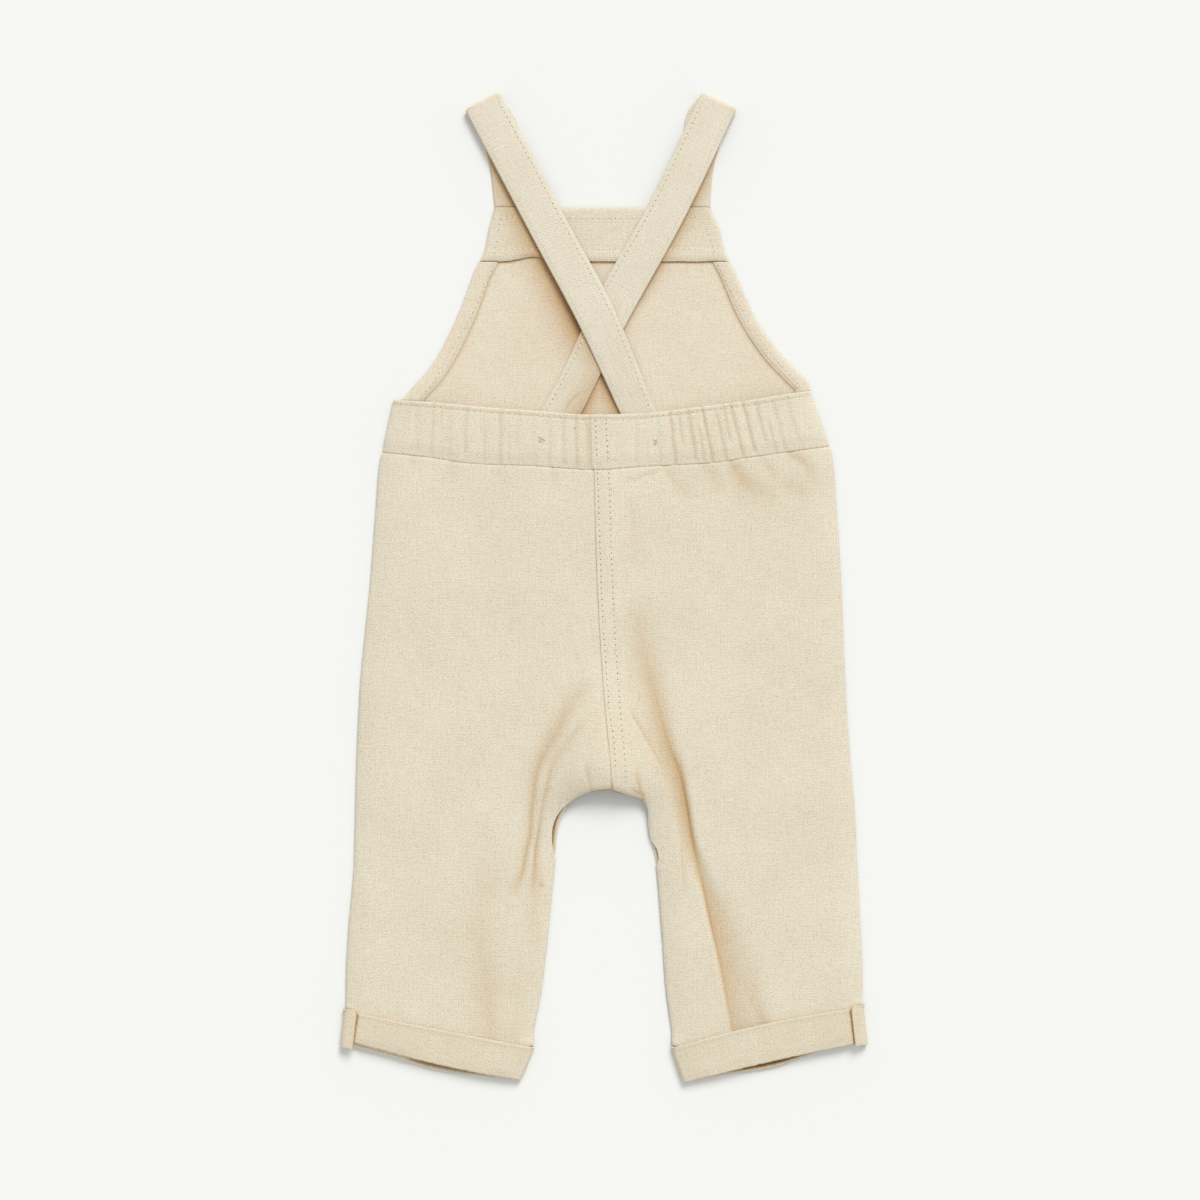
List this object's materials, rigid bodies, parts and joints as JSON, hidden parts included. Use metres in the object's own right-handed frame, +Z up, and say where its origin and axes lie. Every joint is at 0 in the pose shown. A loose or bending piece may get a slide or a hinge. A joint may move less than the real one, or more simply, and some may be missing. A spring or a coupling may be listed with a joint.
{
  "type": "baby overalls",
  "caption": "Baby overalls of oatmeal twill laid flat and face down: crossed back straps, elasticated back waistband, wide legs with turned-up cuffs.",
  "frame": {"origin": "middle of the garment's outline, on the surface that it lies on", "axes": "+Z up from that surface, so the garment's back faces +Z; +Y from the hems to the shoulders; +X to the garment's right"},
  "size_m": [0.2902, 0.5451, 0.0082],
  "materials": {
    "bib": "matte oatmeal linen and cotton twill, inside of the cloth",
    "bib_facing": "matte oatmeal linen and cotton twill",
    "armhole_hem_left": "matte oatmeal linen and cotton twill",
    "armhole_hem_right": "matte oatmeal linen and cotton twill",
    "front_leg_left": "matte oatmeal linen and cotton twill",
    "front_leg_right": "matte oatmeal linen and cotton twill",
    "back_leg_left": "matte oatmeal linen and cotton twill",
    "back_leg_right": "matte oatmeal linen and cotton twill",
    "back_waistband": "matte oatmeal linen and cotton twill, gathered over elastic",
    "strap_left": "matte oatmeal linen and cotton twill, folded double",
    "strap_right": "matte oatmeal linen and cotton twill, folded double",
    "cuff_left": "matte oatmeal linen and cotton twill, turned up",
    "cuff_right": "matte oatmeal linen and cotton twill, turned up",
    "cuff_tab_left": "matte oatmeal linen and cotton twill",
    "cuff_tab_right": "matte oatmeal linen and cotton twill"
  },
  "bodies": {
    "root": {"bib": "bib", "bib_facing": "bib_facing", "armhole_hem_left": "armhole_hem_left", "armhole_hem_right": "armhole_hem_right", "front_leg_left": "front_leg_left", "front_leg_right": "front_leg_right", "back_leg_left": "back_leg_left", "back_leg_right": "back_leg_right", "back_waistband": "back_waistband", "strap_left": "strap_left", "strap_right": "strap_right", "cuff_left": "cuff_left", "cuff_right": "cuff_right", "cuff_tab_left": "cuff_tab_left", "cuff_tab_right": "cuff_tab_right"}
  },
  "joints": []
}
